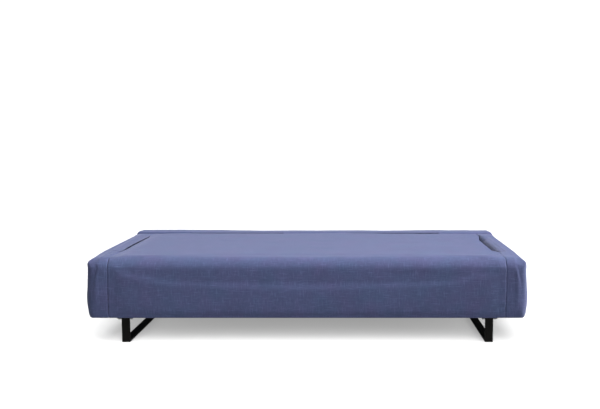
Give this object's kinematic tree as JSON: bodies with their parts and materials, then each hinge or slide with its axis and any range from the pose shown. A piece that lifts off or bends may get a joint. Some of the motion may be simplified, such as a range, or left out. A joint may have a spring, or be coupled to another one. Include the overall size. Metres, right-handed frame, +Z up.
{
  "type": "sofa bed",
  "caption": "Upholstered sofa bed, flat as a bed, on two black steel sled legs; padded arm and back rests pull up out of slots in its top.",
  "frame": {"origin": "on the floor under the middle of the body", "axes": "+Z up, +X to the right along the body's length as seen from the front, front faces -Y"},
  "size_m": [2.1, 1, 0.415],
  "materials": {
    "cover_fabric": "matte",
    "foam": "matte",
    "underside_cloth": "matte",
    "slat_wood": "satin",
    "plywood": "matte",
    "black_plastic": "matte",
    "nylon": "satin",
    "zinc_steel": "satin",
    "black_steel": "satin"
  },
  "bodies": {
    "base": {"front_rail": "black_steel", "rear_rail": "black_steel", "end_rails": "black_steel", "leg_rails": "black_steel", "slat_rear_rail": "black_steel", "center_rail": "black_steel", "arm_guide_uprights": "black_steel", "back_guide_blocks": "black_steel", "back_guide_braces": "black_steel", "guide_sleeves": "zinc_steel", "sleeve_bushes": "nylon", "friction_plungers": "zinc_steel", "slats": "slat_wood", "slat_caps": "black_plastic", "deck_boards": "plywood", "left_sled": "black_steel", "right_sled": "black_steel", "leg_plates": "black_steel", "leg_bolts": "zinc_steel", "leg_nuts": "zinc_steel", "foot_glides": "nylon", "bottom_cloth": "underside_cloth", "mattress_core": "foam", "mattress_topper": "foam", "front_apron_foam": "foam", "left_border_foam": "foam", "right_border_foam": "foam", "back_border_foam": "foam", "seat_cover": "cover_fabric", "left_border_cover": "cover_fabric", "right_border_cover": "cover_fabric", "back_border_cover": "cover_fabric", "left_slot_liner": "cover_fabric", "right_slot_liner": "cover_fabric", "back_slot_liners": "cover_fabric"},
    "left_arm_rest": {"left_arm_frame": "black_steel", "left_arm_board": "plywood", "left_arm_pad": "cover_fabric", "left_arm_rod_feet": "nylon"},
    "left_arm_stages": {"left_arm_stage_tubes": "zinc_steel", "left_arm_stage_bushes": "nylon"},
    "right_arm_rest": {"right_arm_frame": "black_steel", "right_arm_board": "plywood", "right_arm_pad": "cover_fabric", "right_arm_rod_feet": "nylon"},
    "right_arm_stages": {"right_arm_stage_tubes": "zinc_steel", "right_arm_stage_bushes": "nylon"},
    "left_back_rest": {"left_back_frame": "black_steel", "left_back_board": "plywood", "left_back_pad": "cover_fabric", "left_back_rod_feet": "nylon"},
    "left_back_stages": {"left_back_stage_tubes": "zinc_steel", "left_back_stage_bushes": "nylon"},
    "right_back_rest": {"right_back_frame": "black_steel", "right_back_board": "plywood", "right_back_pad": "cover_fabric", "right_back_rod_feet": "nylon"},
    "right_back_stages": {"right_back_stage_tubes": "zinc_steel", "right_back_stage_bushes": "nylon"}
  },
  "joints": [
    {"name": "left_arm_lift", "type": "slide", "parent": "base", "child": "left_arm_rest", "axis": [0, 0, 1], "range_m": [0, 0.26]},
    {"name": "left_arm_stage_lift", "type": "slide", "parent": "base", "child": "left_arm_stages", "axis": [0, 0, 1], "range_m": [0, 0.13]},
    {"name": "right_arm_lift", "type": "slide", "parent": "base", "child": "right_arm_rest", "axis": [0, 0, 1], "range_m": [0, 0.26]},
    {"name": "right_arm_stage_lift", "type": "slide", "parent": "base", "child": "right_arm_stages", "axis": [0, 0, 1], "range_m": [0, 0.13]},
    {"name": "left_back_lift", "type": "slide", "parent": "base", "child": "left_back_rest", "axis": [0, 0.1736, 0.9848], "range_m": [0, 0.26]},
    {"name": "left_back_stage_lift", "type": "slide", "parent": "base", "child": "left_back_stages", "axis": [0, 0.1736, 0.9848], "range_m": [0, 0.13]},
    {"name": "right_back_lift", "type": "slide", "parent": "base", "child": "right_back_rest", "axis": [0, 0.1736, 0.9848], "range_m": [0, 0.26]},
    {"name": "right_back_stage_lift", "type": "slide", "parent": "base", "child": "right_back_stages", "axis": [0, 0.1736, 0.9848], "range_m": [0, 0.13]}
  ],
  "couplings": [
    {"joint": "left_arm_stage_lift", "follows": "left_arm_lift", "ratio": 0.5},
    {"joint": "right_arm_stage_lift", "follows": "right_arm_lift", "ratio": 0.5},
    {"joint": "left_back_stage_lift", "follows": "left_back_lift", "ratio": 0.5},
    {"joint": "right_back_stage_lift", "follows": "right_back_lift", "ratio": 0.5}
  ]
}
